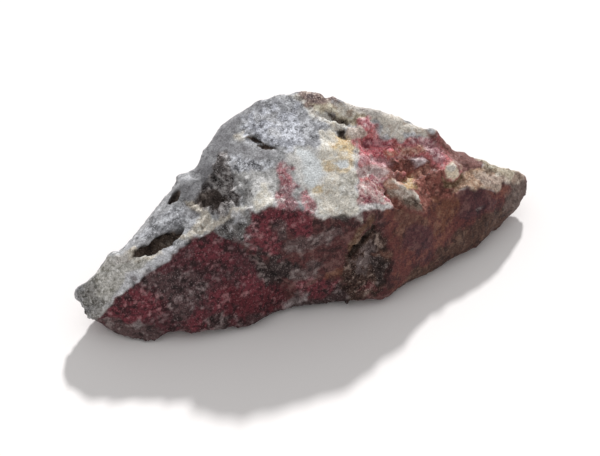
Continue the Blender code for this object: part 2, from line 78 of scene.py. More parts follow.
# A rock has three colours, for its body and its dark and light grains, then the share of each kind of
# grain, the height of its bumps, how chipped it is, how streaked it is (0 to 1), how rough its gloss is and
# how fibrous it is (0 to 1).
ROCK_FIELDS = "body dark light dark_share light_share bump chip streak gloss fibre"
Rock = namedtuple("Rock", ROCK_FIELDS, defaults=(0.0,))
ROCKS = {name: Rock(*values) for name, *values in (
    ("grey", (.36, .36, .37), (.162, .162, .167), (.59, .59, .61), .25, .28, .03, .3, 0, .6),
    ("smooth grey", (.238, .234, .246), (.164, .156, .164), (.34, .34, .35), .25, .3, .02, .15, .3, .6),
    ("speckled grey", (.299, .299, .32), (.123, .123, .132), (.58, .59, .62), .35, .35, .03, .15, 0, .5),
    ("pale grey", (.6, .6, .63), (.34, .34, .35), (.77, .77, .78), .2, .35, .015, .15, .4, .5),
    ("green grey", (.52, .5, .46), (.214, .205, .169), (.75, .73, .69), .3, .3, .04, .35, 0, .55),
    ("dark grey", (.189, .181, .176), (.039, .034, .033), (.57, .57, .58), .35, .3, .08, 1.3, .2, .5),
    ("cream", (.58, .52, .44), (.252, .207, .162), (.77, .75, .68), .2, .35, .05, .7, 0, .5),
    # Painted shade: the next rock's darker grey stands in for the shade of the rough hollow left of the dome.
    ("sooty", (.187, .162, .157), (.028, .02, .019), (.58, .55, .54), .4, .4, .1, 2, 0, .5, .7),
    # Painted shade: the next rock is a dark brown that stands in for the shade inside pits, slots, cracks,
    # the gash, the hole and the depth of the hollow.
    ("brown black", (.055, .037, .029), (.02, .014, .012), (.21, .16, .13), .3, .2, .06, 1.4, 0, .6),
    # Partly painted shade: the next rock is a brown darkened to stand in for the shade in the gash's floor
    # and beside the right block.
    ("dusky brown", (.132, .094, .074), (.044, .03, .023), (.275, .231, .193), .35, .3, .06, 1, 0, .5),
    ("blue white", (.37, .38, .43), (.13, .13, .145), (.76, .78, .85), .34, .44, .03, .15, 0, .45),
    ("streaked white", (.4, .4, .43), (.1, .1, .11), (.84, .86, .91), .36, .42, .03, .15, 0, .45, .9),
    ("grey white", (.59, .58, .57), (.34, .33, .32), (.79, .78, .77), .25, .35, .03, .4, 0, .45),
    ("quartz", (.72, .67, .58), (.52, .44, .35), (.84, .83, .78), .12, .3, .03, .35, 0, .4),
    ("cream quartz", (.68, .57, .44), (.5, .38, .25), (.88, .84, .75), .15, .3, .01, 0, 0, .35),
    ("clear quartz", (.76, .79, .8), (.62, .65, .67), (.86, .89, .9), .12, .2, .01, .1, 0, .3),
    ("warm grey", (.56, .47, .41), (.32, .25, .21), (.76, .69, .63), .25, .3, .03, .35, 0, .45),
    ("grey quartz", (.72, .7, .675), (.5, .48, .44), (.84, .83, .81), .15, .25, .02, .25, 0, .4),
    ("ochre", (.66, .49, .266), (.49, .288, .113), (.74, .66, .5), .25, .3, .03, .3, 0, .45),
    ("pink", (.52, .212, .235), (.239, .087, .101), (.81, .68, .67), .32, .3, .04, .5, 0, .45),
    ("ore", (.104, .033, .04), (.032, .015, .016), (.21, .125, .13), .42, .25, .02, .2, .2, .5),
    ("crimson", (.178, .037, .049), (.04, .013, .016), (.37, .17, .18), .42, .21, .02, .18, .3, .45),
    # Partly painted shade: the next rock also darkens the walls along their foot, where less light reaches.
    ("grey ore", (.052, .031, .031), (.018, .011, .011), (.24, .19, .185), .4, .22, .04, .25, .1, .5),
    ("ash ore", (.1, .07, .069), (.026, .018, .018), (.33, .27, .265), .4, .24, .03, .2, .1, .5),
    ("deep crimson", (.11, .022, .028), (.028, .009, .011), (.28, .13, .135), .35, .22, .03, .22, .2, .45),
    ("wall", (.098, .035, .035), (.045, .021, .021), (.163, .082, .075), .3, .25, .03, .3, .9, .5),
    ("black", (.042, .029, .028), (.014, .011, .011), (.25, .2, .19), .35, .27, .05, .7, 0, .5),
    ("wall grey", (.121, .079, .077), (.05, .033, .033), (.275, .223, .214), .3, .25, .04, .5, .6, .5),
    ("lump grey", (.208, .166, .162), (.108, .077, .077), (.37, .32, .32), .3, .3, .04, .6, 0, .45),
    ("pocket", (.08, .046, .036), (.022, .011, .009), (.35, .263, .221), .38, .2, .06, 1, 0, .5),
    ("olive", (.144, .08, .046), (.076, .039, .025), (.238, .169, .11), .3, .25, .04, .5, .6, .5),
    ("rust", (.127, .041, .037), (.069, .027, .029), (.199, .077, .057), .3, .28, .02, .15, 1, .45),
    ("orange rust", (.169, .068, .041), (.092, .035, .029), (.246, .127, .081), .3, .3, .02, .2, 1, .45),
    ("purple rust", (.089, .036, .041), (.049, .024, .029), (.142, .071, .069), .3, .25, .02, .15, .9, .45),
    ("brown rust", (.135, .061, .045), (.069, .033, .028), (.205, .114, .082), .3, .25, .03, .3, 1, .5),
    ("moss rust", (.081, .049, .036), (.035, .022, .018), (.154, .104, .077), .35, .25, .05, .25, .3, .5),
    ("red", (.6, .193, .203), (.269, .073, .073), (.72, .42, .42), .32, .28, .05, .4, 0, .45, .9),
    ("bright red", (.76, .225, .255), (.38, .08, .1), (.84, .5, .51), .32, .28, .05, .4, 0, .45, .9),
    ("orange red", (.53, .204, .152), (.294, .087, .064), (.72, .48, .37), .28, .28, .04, .4, 0, .45, .8),
    ("rose", (.74, .33, .36), (.42, .12, .15), (.88, .66, .66), .25, .3, .04, .4, 0, .4, .5),
    ("mauve", (.5, .27, .285), (.26, .1, .12), (.76, .56, .57), .32, .3, .05, .5, 0, .45, .8),
    ("magenta", (.36, .117, .143), (.153, .037, .053), (.6, .44, .43), .32, .42, .05, .6, 0, .4, .7),
    # Painted shade: plum is the colour of the shade in the bench's crevices, under the ledges above them.
    ("plum", (.45, .144, .175), (.188, .056, .075), (.72, .38, .41), .3, .25, .05, .5, 0, .5, .8),
    ("red tan", (.42, .2, .145), (.2, .085, .06), (.64, .42, .32), .32, .3, .05, .5, 0, .45, .8),
    ("dark red", (.24, .085, .068), (.103, .039, .032), (.46, .223, .177), .35, .25, .06, .7, 0, .45, .5),
    ("purple grey", (.36, .27, .28), (.22, .15, .16), (.52, .44, .45), .25, .3, .04, .3, 0, .45, .5),
    ("block pink", (.5, .38, .37), (.296, .148, .143), (.75, .68, .65), .28, .3, .04, .5, 0, .4, .4),
    ("pink white", (.65, .46, .44), (.42, .145, .163), (.8, .74, .7), .28, .32, .04, .5, 0, .4, .4),
    # Partly painted shadow: the next rock is a brown darkened for the shade under the quartz lump.
    ("lump brown", (.18, .114, .069), (.096, .054, .03), (.31, .228, .144), .3, .3, .03, .3, 0, .5),
    ("brown grey", (.36, .267, .214), (.178, .119, .092), (.59, .51, .43), .3, .3, .04, .5, 0, .45),
    ("brown red", (.2, .088, .075), (.1, .038, .033), (.3, .17, .155), .3, .25, .04, .2, 0, .5, .3),
    ("salmon", (.64, .38, .28), (.36, .18, .12), (.8, .6, .49), .28, .3, .04, .3, 0, .5, .3),
    ("tan", (.44, .276, .186), (.225, .13, .086), (.61, .48, .36), .3, .3, .05, .3, 0, .5, .3),
    ("pale crest", (.62, .57, .5), (.36, .282, .228), (.73, .7, .65), .25, .3, .04, .25, 0, .5, .2),
    ("crest grey", (.49, .46, .43), (.282, .246, .229), (.69, .65, .62), .3, .3, .04, .25, 0, .5),
    ("green crest", (.48, .41, .31), (.198, .143, .094), (.65, .61, .49), .32, .3, .04, .3, 0, .5, .2),
    ("brown crest", (.216, .146, .13), (.075, .042, .043), (.54, .44, .38), .4, .28, .04, .35, 0, .5),
    ("knob", (.139, .099, .086), (.072, .05, .042), (.224, .178, .152), .3, .25, .03, .25, 0, .5),
)}

# A patch has its name and its rock, its outline in the photograph's pixels, the softness of its edge in
# pixels, how fully it covers, how far it is broken up by what lies under it (both 0 to 1), and how far its
# face stands out, in millimetres. Later patches lie over earlier ones.
Patch = namedtuple("Patch", "name rock outline edge cover broken rise", defaults=(0.0,))
PATCHES = [Patch(*values) for values in (
    ("front walls", "wall", ((90, 322), (115, 299), (146, 277), (182, 249), (210, 230), (255, 211),
     (274, 207), (300, 211), (320, 215), (342, 214), (361, 211), (391, 207), (425, 208), (453, 193),
     (493, 189), (512, 180), (540, 176), (540, 260), (400, 340), (120, 380)), 1.5, 1, 0),
    ("speckle of the left face", "speckled grey", ((140, 236), (158, 212), (182, 202), (200, 212), (196, 228),
     (172, 231), (150, 240)), 5, .9, .1),
    ("left shoulder", "smooth grey", ((178, 184), (205, 170), (211, 188), (200, 202), (197, 222), (188, 220),
     (186, 206), (178, 198)), 4, .8, .4),
    ("shelf line", "pale grey", ((176, 178), (188, 175), (197, 180), (182, 183)), 1.2, .8, .2, .2),
    # painted shade inside the pit
    ("left pit", "brown black", ((166, 200), (169, 193), (176, 188), (180, 190), (177, 196),
     (170, 202)), 1, .95, 0, -.5),
    ("tip strip", "green grey", ((84, 300), (92, 266), (120, 250), (140, 246), (160, 252), (140, 276),
     (121, 294), (99, 322)), 4, .9, .4),
    ("tip top", "crest grey", ((104, 268), (116, 252), (130, 246), (134, 256), (120, 262)), 4, .8, .2),
    ("ridge strip", "pale grey", ((101, 310), (118, 288), (134, 272), (152, 259), (172, 248), (186, 241),
     (184, 248), (160, 267), (146, 276), (131, 288), (115, 298)), 2, .9, .25),
    ("tip end", "dark grey", ((68, 298), (90, 274), (104, 300), (99, 322), (84, 316)), 3, .6, .3),
    ("cream of the ridge", "cream", ((197, 213), (208, 210), (214, 217), (228, 213), (248, 204), (252, 208),
     (236, 217), (222, 224), (205, 233), (190, 240), (182, 240), (194, 228), (198, 221)), 2, .85, .5),
    ("gash end", "cream", ((127, 249), (133, 244), (137, 246), (134, 258), (128, 259)), 1.2, .9, 0, .1),
    ("gash lip", "cream", ((136, 258), (150, 255), (162, 251), (163, 254), (148, 259),
     (133, 261)), 1.2, .8, .4),
    # painted shade inside the gash
    ("gash", "brown black", ((131, 256), (134, 249), (140, 245), (147, 245), (155, 240), (166, 232),
     (177, 229), (185, 229), (181, 237), (171, 245), (158, 251), (144, 255)), 1, 1, 0, -.9),
    # the gash floor's brown is darkened as painted shade
    ("gash floor", "dusky brown", ((150, 250), (160, 242), (170, 237), (178, 234), (177, 239), (169, 245),
     (156, 251)), 1, .85, .3, .2),
    ("gash foot", "dusky brown", ((132, 256), (136, 249), (146, 249), (144, 254), (138, 256)), 1, .8, .4),
    ("notch of the ridge", "black", ((184, 244), (192, 240), (197, 239), (192, 244),
     (186, 246)), 1.2, .9, .2, -.2),
    ("grey slope", "dark grey", ((211, 231), (222, 223), (236, 216), (252, 208), (264, 212), (260, 226),
     (250, 240), (236, 243), (224, 238)), 2.5, .95, 0),
    ("pale of the slope", "pale grey", ((229, 216), (240, 211), (246, 220), (234, 225)), 2, .7, .4),
    ("vein of the slope", "lump grey", ((234, 238), (250, 242), (262, 250), (264, 254), (248, 247),
     (233, 242)), 1.2, .8, .3),
    ("dome band", "smooth grey", ((190, 170), (213, 134), (234, 112), (256, 99), (272, 98), (262, 112),
     (244, 126), (233, 140), (222, 154), (212, 170), (203, 180)), 4, .95, 0),
    ("dome top", "speckled grey", ((257, 102), (272, 95), (300, 94), (320, 106), (334, 120), (336, 142),
     (320, 152), (302, 148), (300, 122), (280, 110), (258, 112)), 4, .95, 0),
    ("dome front", "blue white", ((250, 114), (272, 107), (292, 110), (304, 126), (308, 148), (288, 152),
     (272, 146), (258, 138), (246, 136), (245, 126)), 5, .95, 0),
    ("dome bright", "grey white", ((254, 114), (268, 111), (282, 118), (284, 128), (270, 130),
     (256, 124)), 5, .45, .5),
    ("under the slots", "smooth grey", ((222, 150), (236, 140), (256, 148), (276, 152), (280, 158),
     (246, 156), (228, 156)), 3, .8, .4),
    ("left of the slots", "cream", ((235, 134), (244, 131), (247, 137), (240, 141)), 2, .7, .2),
    # painted shade inside this slot and the next
    ("upper slot", "brown black", ((246, 137), (252, 136), (263, 142), (264, 144), (256, 142),
     (249, 140)), .5, 1, 0, -.3),
    ("lower slot", "brown black", ((256, 146), (264, 144), (274, 147), (278, 149), (270, 150),
     (260, 148)), .5, 1, 0, -.3),
    ("white streaks", "streaked white", ((225, 156), (246, 158), (270, 160), (276, 168), (262, 176),
     (244, 172), (230, 166)), 3, .95, .1),
    ("dome middle", "grey white", ((234, 168), (246, 172), (262, 176), (276, 168), (284, 186), (280, 206),
     (262, 211), (248, 204), (242, 186)), 4, .95, .4),
    ("dusk beside the hollow", "dark grey", ((230, 168), (238, 173), (246, 186), (252, 202), (244, 210),
     (236, 206), (238, 190)), 2.5, .6, .8),
    # painted shade: the hollow is coloured darker than the rock round it because it lies in shade
    ("dark hollow", "sooty", ((219, 150), (226, 151), (229, 165), (236, 182), (242, 197), (233, 208),
     (221, 216), (209, 210), (198, 212), (194, 203), (202, 186), (211, 169)), 2.5, .95, 0),
    # painted shade in the depth of the hollow
    ("depth of the hollow", "brown black", ((195, 203), (204, 191), (218, 190), (228, 198), (220, 210),
     (210, 206), (199, 209)), 2, .8, .4, -.4),
    ("hollow lip", "cream", ((183, 200), (192, 201), (202, 208), (203, 213), (196, 212),
     (188, 206)), 1.2, .85, .1, .15),
    ("white field", "grey quartz", ((284, 152), (318, 146), (333, 128), (350, 136), (358, 160), (362, 190),
     (368, 212), (345, 214), (318, 217), (304, 208), (298, 186)), 4, .95, .3),
    ("white of the field", "quartz", ((316, 150), (334, 134), (346, 140), (358, 158), (360, 186), (364, 211),
     (342, 213), (318, 214), (310, 196), (322, 184), (318, 166)), 4, .85, .6),
    ("long clear vein", "clear quartz", ((296, 152), (314, 150), (319, 166), (323, 184), (314, 189),
     (304, 178)), 3, .95, .2),
    ("grey of the field", "green grey", ((340, 178), (350, 174), (360, 182), (363, 200), (352, 206),
     (344, 196)), 3, .7, .6),
    ("upper stain", "ochre", ((332, 142), (342, 137), (357, 142), (358, 155), (344, 155),
     (334, 150)), 3, .85, .35),
    ("ring stain", "ochre", ((325, 161), (338, 155), (353, 158), (355, 168), (344, 174), (332, 171),
     (320, 174)), 2.5, .6, .5),
    ("clear spot", "clear quartz", ((332, 161), (346, 159), (350, 165), (340, 169)), 1.5, .95, 0),
    ("low stain", "ochre", ((313, 188), (322, 187), (321, 193), (313, 193)), 1.5, .7, .4),
    ("nodule", "quartz", ((259, 189), (269, 187), (274, 197), (271, 207), (260, 208),
     (255, 199)), 2.5, .9, 0, .15),
    ("pink streak", "pink", ((274, 171), (282, 164), (290, 169), (294, 182), (286, 184),
     (279, 179)), 2.5, .9, .4),
    ("middle of the pink streak", "pink", ((283, 180), (294, 180), (299, 195), (300, 212), (288, 211),
     (285, 196)), 2.5, .65, .8),
    ("foot of the pink streak", "pink", ((273, 210), (279, 191), (285, 194), (289, 211)), 2, .9, .4),
    ("right pink streak", "pink", ((300, 192), (306, 188), (311, 198), (315, 214), (303, 213),
     (303, 202)), 2, .9, .4),
    ("crest line", "cream", ((290, 94), (300, 95), (318, 107), (341, 121), (352, 124), (346, 131), (338, 132),
     (316, 116), (298, 104)), 2, .65, .5),
    ("crest brown", "brown crest", ((298, 91), (322, 89), (337, 94), (341, 101), (332, 109), (318, 110),
     (306, 107), (299, 100)), 2.5, .95, .55),
    ("crest green", "green crest", ((310, 102), (330, 106), (345, 103), (360, 107), (374, 113), (370, 122),
     (350, 125), (334, 119), (320, 112)), 2.5, .95, .5),
    ("pale crest", "pale crest", ((345, 97), (372, 105), (400, 114), (425, 124), (438, 130), (428, 133),
     (412, 132), (400, 136), (386, 133), (376, 123), (362, 114)), 2.5, .95, .5),
    ("grey of the crest", "crest grey", ((350, 100), (372, 107), (390, 116), (376, 119),
     (362, 112)), 2.5, .8, .2),
    ("pale of the crest", "pale crest", ((334, 103), (344, 100), (352, 104), (354, 113), (342, 115),
     (334, 110)), 2, .8, .4),
    # painted shade inside the crest's crack
    ("crest crack", "brown black", ((326, 113), (335, 117), (346, 119), (347, 124), (338, 122),
     (329, 118)), 1.2, .9, 0, -.5),
    ("red bench", "red", ((356, 142), (356, 132), (358, 119), (365, 114), (371, 124), (380, 138), (402, 140),
     (415, 136), (430, 133), (438, 132), (446, 146), (454, 160), (464, 174), (468, 184), (456, 196),
     (444, 204), (425, 208), (410, 209), (388, 211), (366, 209), (361, 178), (359, 156)), 2.5, 1, .4),
    ("foot of the bench", "dark red", ((364, 180), (380, 166), (400, 176), (432, 172), (448, 180), (458, 196),
     (444, 205), (425, 210), (388, 213), (366, 211), (360, 196)), 2, .95, .2),
    ("rose patch", "rose", ((358, 119), (365, 115), (371, 122), (371, 130), (364, 129)), 2, .9, .5, .15),
    # painted shade under the ledge above the crevice
    ("bench crevice", "plum", ((361, 139), (374, 138), (392, 141), (396, 145), (388, 147), (374, 146),
     (362, 144)), 1.5, .85, .2, -.3),
    ("bright ledge", "bright red", ((359, 146), (372, 147), (388, 147), (401, 153), (400, 158), (384, 157),
     (368, 155), (360, 152)), 1.5, .95, .5, .2),
    ("orange ledge", "orange red", ((384, 151), (396, 151), (402, 156), (388, 158)), 1.5, .9, .2, .1),
    ("tan bench", "red tan", ((398, 145), (412, 141), (424, 145), (424, 154), (404, 156)), 2, .8, .5, .2),
    ("bench shadow", "plum", ((402, 143), (412, 140), (424, 143), (418, 146), (406, 147)), 1.2, .7, .5, -.2),
    ("mauve lumps", "mauve", ((412, 137), (430, 133), (437, 141), (442, 153), (441, 162), (432, 160),
     (422, 150)), 2, .9, .7, .2),
    ("crest end", "brown red", ((426, 128), (438, 129), (446, 138), (454, 148), (464, 160), (460, 164),
     (446, 153), (436, 141)), 2, .95, .3),
    ("cavity side", "brown red", ((380, 162), (398, 158), (404, 174), (394, 182), (382, 172)), 2, .9, .3),
    # partly painted shade: the cavity's dark red is deepened for the shade under the ledge above it
    ("cavity", "dark red", ((394, 160), (410, 159), (428, 161), (429, 172), (416, 178), (398, 176),
     (393, 168)), 2, .95, .5, .5),
    ("cavity stone", "purple grey", ((407, 160), (414, 158), (425, 159), (427, 167),
     (411, 169)), 1.5, .95, 0, .4),
    ("cavity foot", "red tan", ((398, 177), (420, 172), (430, 174), (424, 184), (404, 184)), 2, .8, .3, -.2),
    ("yellow spot", "ochre", ((402, 181), (411, 179), (416, 186), (406, 188)), 2, .8, .4),
    ("dark red slope", "dark red", ((414, 186), (424, 168), (436, 164), (443, 171), (448, 185), (452, 194),
     (436, 200), (424, 209), (416, 194)), 2, .95, .3),
    ("above the left block", "mauve", ((359, 154), (372, 156), (386, 157), (392, 164), (380, 164), (366, 163),
     (359, 165)), 1.5, .85, .3),
    ("left block top", "block pink", ((357, 166), (366, 164), (380, 165), (389, 171), (386, 176), (374, 178),
     (358, 176)), 1.5, .95, .3),
    ("left block red", "magenta", ((368, 175), (380, 175), (392, 183), (390, 190), (380, 189),
     (370, 184)), 1.5, .9, .3),
    ("left block face", "magenta", ((360, 188), (368, 193), (380, 204), (374, 208),
     (361, 206)), 1.5, .9, .35),
    ("left block ridge", "pink white", ((359, 178), (366, 181), (378, 190), (387, 197), (394, 204),
     (392, 210), (384, 209), (372, 199), (360, 187)), 1.2, .95, .25, .2),
    ("left block foot", "grey white", ((360, 204), (374, 203), (391, 208), (386, 212),
     (362, 211)), 1.5, .9, .1),
    ("right block", "brown grey", ((385, 184), (396, 182), (406, 186), (413, 193), (419, 204), (420, 208),
     (410, 210), (398, 204), (390, 197)), 1.5, .95, .3, .1),
    ("right block edge", "salmon", ((384, 182), (392, 178), (402, 182), (400, 188), (392, 189),
     (387, 188)), 1.2, .85, .3),
    ("right block light", "warm grey", ((394, 190), (402, 188), (412, 192), (412, 197), (404, 198),
     (397, 197)), 1.5, .6, .4),
    ("right block shade", "dusky brown", ((404, 200), (411, 196), (421, 207), (408, 208)), 1.5, .8, .3),
    # painted highlight along the right block's ridge
    ("right block rim", "pale crest", ((392, 178), (402, 184), (412, 190), (417, 195), (420, 201), (418, 202),
     (413, 196), (407, 192), (399, 187), (391, 181)), .9, .75, .3, .05),
    ("block gap", "dark red", ((389, 198), (396, 198), (404, 205), (402, 210), (392, 209)), 1.2, .9, 0, -.4),
    ("pale block", "warm grey", ((346, 132), (349, 127), (360, 127), (366, 133), (360, 138),
     (348, 139)), 1, .95, .25, .1),
    # painted shade inside the hole
    ("hole", "brown black", ((338, 132), (345, 130), (347, 139), (342, 140)), 1, .95, 0, -.5),
    ("quartz lump", "cream quartz", ((442, 171), (445, 164), (451, 161), (458, 164), (461, 170), (458, 177),
     (452, 180), (446, 177)), 1.2, 1, 0, .1),
    # partly a painted highlight: the lump's grey-white top is made lighter at its top left, where it catches
    # the light
    ("cap of the lump", "grey white", ((443, 170), (446, 164), (452, 162), (457, 165), (456, 170),
     (449, 172)), 1.5, .6, .3),
    ("red slope", "brown red", ((443, 144), (462, 147), (486, 157), (488, 166), (480, 174), (470, 179),
     (462, 178), (452, 162)), 2.5, .95, .2),
    ("tan end", "tan", ((459, 180), (470, 173), (486, 169), (502, 168), (512, 178), (500, 187), (478, 191),
     (452, 192)), 2, .95, .35),
    # brown at the lump's foot, darkened as a painted shadow under the lump
    ("lump foot", "lump brown", ((441, 175), (446, 179), (453, 181), (460, 177), (463, 173), (464, 180),
     (455, 187), (443, 186)), 1.2, .95, 0, -.1),
    ("end crest", "green crest", ((478, 150), (500, 159), (528, 170), (516, 180), (500, 178), (490, 170),
     (482, 162)), 2.5, .9, .5),
    ("pale of the tan end", "crest grey", ((474, 178), (490, 174), (508, 175), (508, 183), (494, 187),
     (478, 185)), 2, .4, .5),
    ("end pit", "moss rust", ((484, 169), (492, 168), (496, 173), (488, 176)), 1.5, .6, .3),
    ("left red face", "ore", ((95, 322), (115, 299), (146, 277), (170, 260), (183, 249), (196, 241),
     (211, 230), (232, 242), (250, 254), (261, 273), (277, 286), (290, 303), (280, 314), (240, 330),
     (200, 344), (160, 352), (110, 348)), .8, 1, 0),
    ("red of the left foot", "crimson", ((104, 313), (122, 298), (146, 288), (164, 294), (164, 314),
     (140, 322), (114, 321)), 4, .9, .7),
    ("grey of the left face", "ash ore", ((136, 284), (158, 268), (184, 268), (206, 282), (204, 308),
     (180, 322), (166, 310), (160, 292)), 4, .65, .85),
    ("upper red", "crimson", ((194, 247), (211, 233), (228, 244), (234, 258), (212, 264),
     (194, 263)), 4, .6, .8),
    ("right red", "crimson", ((238, 280), (246, 270), (260, 280), (276, 296), (262, 308),
     (242, 302)), 4, .9, .6),
    ("middle red", "crimson", ((210, 292), (226, 284), (234, 296), (224, 314), (208, 306)), 3, .85, .7),
    ("low red", "crimson", ((182, 322), (200, 313), (214, 322), (204, 335), (186, 335)), 3, .8, .7),
    ("low dark", "grey ore", ((208, 316), (222, 306), (234, 316), (224, 336), (208, 336)), 3, .85, .7),
    # painted shade along the foot of the left face
    ("shade of the left foot", "grey ore", ((160, 334), (200, 330), (240, 316), (276, 300), (294, 304),
     (284, 322), (240, 338), (200, 350), (160, 352)), 4, .7, .7),
    ("deep red of the left face", "deep crimson", ((222, 297), (232, 285), (246, 292), (260, 284), (280, 291),
     (290, 301), (272, 312), (246, 318), (226, 314)), 4, .9, .25),
    ("left foot edge", "wall grey", ((98, 318), (114, 316), (130, 320), (148, 322), (162, 332), (158, 344),
     (130, 342), (106, 332)), 3, .85, .6),
    ("pale of the left foot", "lump grey", ((131, 322), (141, 319), (150, 324), (146, 329),
     (134, 328)), 2, .85, .4),
    ("red of the middle wall", "crimson", ((254, 214), (274, 206), (300, 211), (314, 216), (312, 238),
     (296, 238), (278, 226), (262, 224)), 3, .9, .6),
    ("left of the middle wall", "crimson", ((246, 220), (262, 214), (276, 226), (282, 242), (278, 260),
     (264, 260), (250, 244)), 3, .85, .7),
    ("grey spot", "wall grey", ((275, 222), (285, 222), (288, 238), (278, 239)), 2, .85, .5),
    ("grey band", "wall grey", ((282, 248), (290, 239), (312, 234), (338, 229), (340, 238), (318, 247),
     (296, 253)), 3, .85, .5),
    ("black patch", "black", ((250, 252), (262, 260), (278, 256), (298, 262), (296, 278), (278, 286),
     (264, 278)), 4, .95, .7),
    ("grey patch", "wall grey", ((289, 268), (304, 266), (318, 264), (323, 272), (312, 280),
     (294, 281)), 3, .85, .6),
    ("red of the foot", "crimson", ((293, 285), (312, 280), (338, 281), (340, 298), (312, 306),
     (298, 300)), 3, .8, .9),
    ("foot lump", "lump grey", ((286, 301), (296, 293), (309, 293), (310, 302), (297, 309),
     (286, 308)), 2.5, .95, .3),
    # painted shade along the foot of the middle wall
    ("shade of the foot", "grey ore", ((288, 306), (300, 303), (318, 297), (340, 288), (358, 292), (352, 310),
     (310, 314), (290, 316)), 3, .95, .5),
    ("rust spot", "orange rust", ((326, 269), (338, 264), (349, 267), (346, 277), (332, 278)), 2.5, .75, .7),
    ("dark edge", "black", ((326, 213), (336, 212), (350, 215), (348, 221), (330, 220)), 2, .85, .2, -.2),
    ("pocket", "pocket", ((349, 258), (360, 243), (376, 229), (386, 236), (392, 256), (390, 280), (376, 300),
     (350, 304), (340, 286)), 3, .95, .5),
    ("pale of the pocket", "lump grey", ((350, 264), (362, 257), (366, 244), (372, 244), (374, 260),
     (360, 274)), 2.5, .6, .9),
    ("dark of the pocket", "black", ((370, 258), (392, 256), (391, 280), (374, 286)), 3, .85, .6),
    ("line of the pocket", "brown rust", ((372, 256), (384, 249), (394, 250), (392, 256),
     (380, 257)), 1.5, .8, .5),
    ("red of the pocket", "crimson", ((356, 284), (372, 282), (380, 290), (366, 298)), 3, .5, .5),
    ("crack rim", "olive", ((346, 246), (358, 226), (376, 219), (380, 224), (364, 232),
     (352, 250)), 2.5, .75, .6),
    # painted shade inside the crack
    ("crack", "brown black", ((348, 257), (354, 246), (364, 234), (374, 225), (377, 227), (367, 238),
     (359, 248), (352, 257)), .8, .95, 0, -.5),
    ("right wall", "rust", ((382, 214), (391, 208), (425, 209), (453, 194), (493, 190), (513, 181),
     (524, 190), (518, 214), (500, 224), (470, 254), (430, 284), (394, 300), (392, 276), (394, 252),
     (386, 232)), 2, 1, 0),
    ("brown of the right wall", "brown rust", ((390, 210), (425, 210), (432, 220), (414, 226), (404, 246),
     (394, 240)), 4, .8, .3),
    ("purple of the right wall", "purple rust", ((404, 230), (420, 222), (436, 226), (434, 244), (416, 256),
     (404, 250)), 4, .85, .3),
    ("orange of the right wall", "orange rust", ((436, 200), (450, 196), (458, 204), (448, 224), (438, 236),
     (430, 226)), 4, .8, .35),
    ("dark of the right wall", "purple rust", ((456, 194), (492, 191), (494, 208), (474, 220),
     (458, 214)), 4, .85, .3),
    ("red of the end", "rust", ((488, 191), (512, 184), (515, 198), (498, 207)), 3, .8, .3),
    ("foot of the right wall", "moss rust", ((396, 286), (430, 258), (456, 236), (500, 209), (520, 204),
     (504, 226), (470, 256), (430, 284), (398, 300)), 4, .8, .3),
    ("scratch", "lump grey", ((476, 209), (482, 205), (484, 206), (479, 211)), .9, .8, 0),
    ("knob", "knob", ((510, 178), (526, 172), (530, 200), (520, 214), (506, 214), (506, 196)), 2.5, .9, .1),
    ("top of the knob", "brown grey", ((511, 177), (517, 173), (526, 175), (527, 181), (519, 183),
     (512, 182)), 1.5, .95, .2),
)]

# A swell moves the stone's face out (+) or in (-), in millimetres, and leaves its rock as it is. It has an
# outline and an edge in pixels too, and brings the stone's own outline to the photograph's.
Swell = namedtuple("Swell", "name outline edge rise")
SWELLS = [Swell(*values) for values in (
    ("hollow of the left ridge", ((110, 240), (134, 200), (160, 168), (172, 168), (178, 180), (168, 204),
     (152, 226), (136, 244), (118, 252)), 6, -.55),
    ("hollow of the tip", ((74, 276), (88, 250), (106, 244), (106, 260), (98, 272), (86, 288)), 4, -.4),
    ("shoulder of the dome", ((214, 118), (240, 90), (256, 84), (260, 104), (250, 118), (236, 130),
     (218, 136)), 9, .35),
    ("flat of the dome", ((262, 76), (284, 76), (290, 98), (278, 110), (262, 110)), 8, -.3),
    ("swell of the crest", ((378, 100), (400, 108), (402, 122), (390, 126), (378, 120)), 4, .35),
    ("dip of the crest", ((402, 104), (418, 110), (416, 126), (404, 124)), 3, -.25),
    ("swell of the crest end", ((430, 118), (452, 130), (456, 148), (446, 152), (432, 138)), 4, .45),
    ("dip of the right ridge", ((468, 140), (500, 150), (502, 168), (484, 166), (468, 158)), 4, -.35),
    ("bulge of the left foot", ((180, 318), (200, 308), (230, 304), (258, 300), (268, 312), (250, 330),
     (186, 340)), 6, .55),
    ("hollow of the left foot", ((132, 330), (146, 324), (162, 328), (166, 344), (150, 350),
     (134, 344)), 5, -.6),
)]

WANDER = 2.4  # how far the patches' edges wander, in widths of their soft edge
WANDER_SIZES = (2.6, 0.9)  # the sizes of the lumps they wander by
WANDER_SEEDS = (101, 111)  # one across the frame and one up it
FINE_WANDER = 0.5  # strength of the smaller lumps beside the larger
BREAKING = 5.0  # how strongly a patch is broken up, in widths of its soft edge
BREAKING_SIZE = 1.5  # the size of the lumps it is broken into
FACING = 0.075  # a point is in view if the cosine between its normal and the camera is more than this
RAY_LIFT = (0.3, 0.2)  # how far along the normal and towards the camera a sight line starts
UNDERSIDE = (-0.9, -0.6)  # upward part of the normal where the swells end and where they are whole

UNSEEN_CHIP = 0.5  # the faces turned away are broken rock, with none of the dome's smoothness
UNSEEN_COVER = 0.9
UNSEEN_EDGE = (-0.05, 0.25)  # strengths at which a rock of the faces turned away begins and is fullest
SPREAD = (0.5, 4.0)  # the rock seen at an edge runs on over the faces turned away: whole to here, gone here
SPREAD_WAVER = 0.8  # how far that border wavers
SPREAD_LUMPS = 2.0  # the size of the lumps it wavers by

